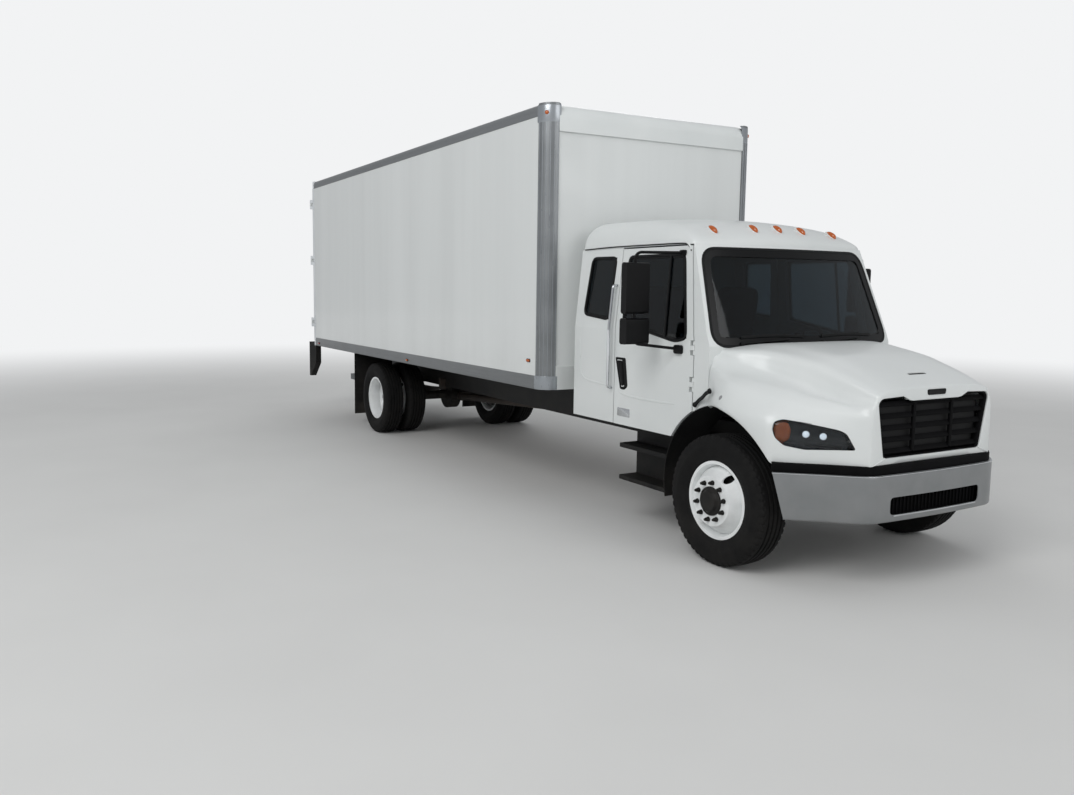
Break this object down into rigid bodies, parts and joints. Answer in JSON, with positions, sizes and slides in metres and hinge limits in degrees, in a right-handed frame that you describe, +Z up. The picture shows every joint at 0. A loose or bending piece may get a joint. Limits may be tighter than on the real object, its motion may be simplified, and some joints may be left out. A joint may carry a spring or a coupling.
{
  "type": "box truck",
  "caption": "Conventional-cab delivery truck with a tall van body, swing rear doors, tilting hood, opening cab doors, steered front wheels and twin rear wheels.",
  "frame": {"origin": "on the ground under the middle of the vehicle's overall length and width", "axes": "+X forward, +Y to the driver's left, +Z up"},
  "size_m": [10.868, 2.86, 3.809],
  "materials": {
    "frame_paint": "satin black chassis paint",
    "engine_iron": "cast and painted",
    "tank_aluminium": "brushed",
    "step_plastic": "grained black",
    "bumper_paint": "satin silver grey",
    "floor_wood": "oiled hardwood",
    "rail_aluminium": "anodised",
    "wall_panel": "white glass-fibre faced panel",
    "nose_cap": "white moulded cap",
    "roof_sheet": "white coated sheet",
    "rear_frame_paint": "white baked enamel",
    "rear_door_panel": "white painted",
    "dock_steel": "black paint, scuffed",
    "gate_steel": "dark grey paint",
    "flap_rubber": "matt",
    "cab_paint": "gloss white",
    "pan_paint": "dark sealed",
    "cab_glass": "tinted",
    "hood_paint": "gloss white glass fibre",
    "grille_plastic": "dark",
    "lamp_lens": "smoked clear lens",
    "liner_plastic": "grained black",
    "tyre_rubber": "matt",
    "rim_paint": "white powder coat",
    "hub_iron": "black painted",
    "axle_iron": "black painted",
    "spring_steel": "black painted spring steel",
    "rod_steel": "drawn tube",
    "mirror_plastic": "black",
    "handle_chrome": "polished",
    "dash_plastic": "grained dark grey",
    "wheel_plastic": "soft black",
    "seat_fabric": "woven charcoal",
    "lamp_amber": "amber lens"
  },
  "bodies": {
    "chassis": {"ladder_frame": "frame_paint", "engine_block": "engine_iron", "front_axle_beam": "axle_iron", "leaf_springs": "spring_steel", "rear_axle_housing": "axle_iron", "drive_shaft": "spring_steel", "fuel_tank": "tank_aluminium", "cab_steps": "step_plastic", "front_bumper": "bumper_paint", "body_subframe": "frame_paint", "body_floor": "floor_wood", "body_rails_posts": "rail_aluminium", "body_side_walls": "wall_panel", "body_front_wall": "wall_panel", "body_nose_cap": "nose_cap", "body_roof": "roof_sheet", "body_rear_frame": "rear_frame_paint", "dock_bumpers": "dock_steel", "liftgate": "gate_steel", "mud_flaps": "flap_rubber", "cab_roof": "cab_paint", "cab_back_wall": "cab_paint", "cab_side_panels": "cab_paint", "cab_floor": "pan_paint", "cab_cowl": "cab_paint", "cab_windows": "cab_glass", "splash_guards": "liner_plastic", "grab_handles": "handle_chrome", "dashboard": "dash_plastic", "steering_wheel": "wheel_plastic", "seats": "seat_fabric", "body_lamps": "lamp_amber"},
    "hood": {"hood_shell": "hood_paint", "hood_grille": "grille_plastic", "headlamps": "lamp_lens", "arch_liners": "liner_plastic"},
    "cab_door_left": {"door_left": "cab_paint", "door_glass_left": "cab_glass", "mirror_left": "mirror_plastic"},
    "cab_door_right": {"door_right": "cab_paint", "door_glass_right": "cab_glass", "mirror_right": "mirror_plastic"},
    "cargo_door_left": {"rear_door_left": "rear_door_panel"},
    "cargo_door_right": {"rear_door_right": "rear_door_panel"},
    "steer_knuckle_left": {"knuckle_left": "axle_iron"},
    "steer_knuckle_right": {"knuckle_right": "axle_iron"},
    "track_rod": {"tie_rod": "rod_steel"},
    "front_wheel_left": {"tyre_front_left": "tyre_rubber", "rim_front_left": "rim_paint", "hub_front_left": "hub_iron"},
    "rear_wheels_left": {"tyres_rear_left": "tyre_rubber", "rims_rear_left": "rim_paint", "hub_rear_left": "hub_iron"},
    "front_wheel_right": {"tyre_front_right": "tyre_rubber", "rim_front_right": "rim_paint", "hub_front_right": "hub_iron"},
    "rear_wheels_right": {"tyres_rear_right": "tyre_rubber", "rims_rear_right": "rim_paint", "hub_rear_right": "hub_iron"}
  },
  "joints": [
    {"name": "hood_tilt", "type": "hinge", "parent": "chassis", "child": "hood", "pos_m": [5.39, 0, 0.86], "axis": [0, 1, 0], "range_deg": [0, 70]},
    {"name": "cab_door_left_swing", "type": "hinge", "parent": "chassis", "child": "cab_door_left", "pos_m": [3.988, 1.021, 1.475], "axis": [0, 0, -1], "range_deg": [0, 68]},
    {"name": "cab_door_right_swing", "type": "hinge", "parent": "chassis", "child": "cab_door_right", "pos_m": [3.988, -1.021, 1.475], "axis": [0, 0, 1], "range_deg": [0, 68]},
    {"name": "cargo_door_left_swing", "type": "hinge", "parent": "chassis", "child": "cargo_door_left", "pos_m": [-5.166, 1.3215, 2.5], "axis": [0, 0, -1], "range_deg": [0, 270]},
    {"name": "cargo_door_right_swing", "type": "hinge", "parent": "chassis", "child": "cargo_door_right", "pos_m": [-5.166, -1.3215, 2.5], "axis": [0, 0, 1], "range_deg": [0, 270]},
    {"name": "steer_right", "type": "hinge", "parent": "chassis", "child": "steer_knuckle_right", "pos_m": [4.404, -0.858, 0.5], "axis": [0, 0, 1], "range_deg": [-40, 40]},
    {"name": "steer_left", "type": "hinge", "parent": "chassis", "child": "steer_knuckle_left", "pos_m": [4.404, 0.858, 0.5], "axis": [0, 0, 1], "range_deg": [-40, 40]},
    {"name": "track_rod_pivot", "type": "hinge", "parent": "steer_knuckle_right", "child": "track_rod", "pos_m": [4.204, -0.858, 0.418], "axis": [0, 0, 1], "range_deg": [-40, 40]},
    {"name": "front_wheel_left_spin", "type": "hinge", "parent": "steer_knuckle_left", "child": "front_wheel_left", "pos_m": [4.404, 1.022, 0.5], "axis": [0, 1, 0], "continuous": true},
    {"name": "front_wheel_right_spin", "type": "hinge", "parent": "steer_knuckle_right", "child": "front_wheel_right", "pos_m": [4.404, -1.022, 0.5], "axis": [0, 1, 0], "continuous": true},
    {"name": "rear_wheels_left_spin", "type": "hinge", "parent": "chassis", "child": "rear_wheels_left", "pos_m": [-2.536, 0.916, 0.5], "axis": [0, 1, 0], "continuous": true},
    {"name": "rear_wheels_right_spin", "type": "hinge", "parent": "chassis", "child": "rear_wheels_right", "pos_m": [-2.536, -0.916, 0.5], "axis": [0, 1, 0], "continuous": true}
  ],
  "couplings": [
    {"joint": "steer_left", "follows": "steer_right", "ratio": 1},
    {"joint": "track_rod_pivot", "follows": "steer_right", "ratio": -1}
  ]
}
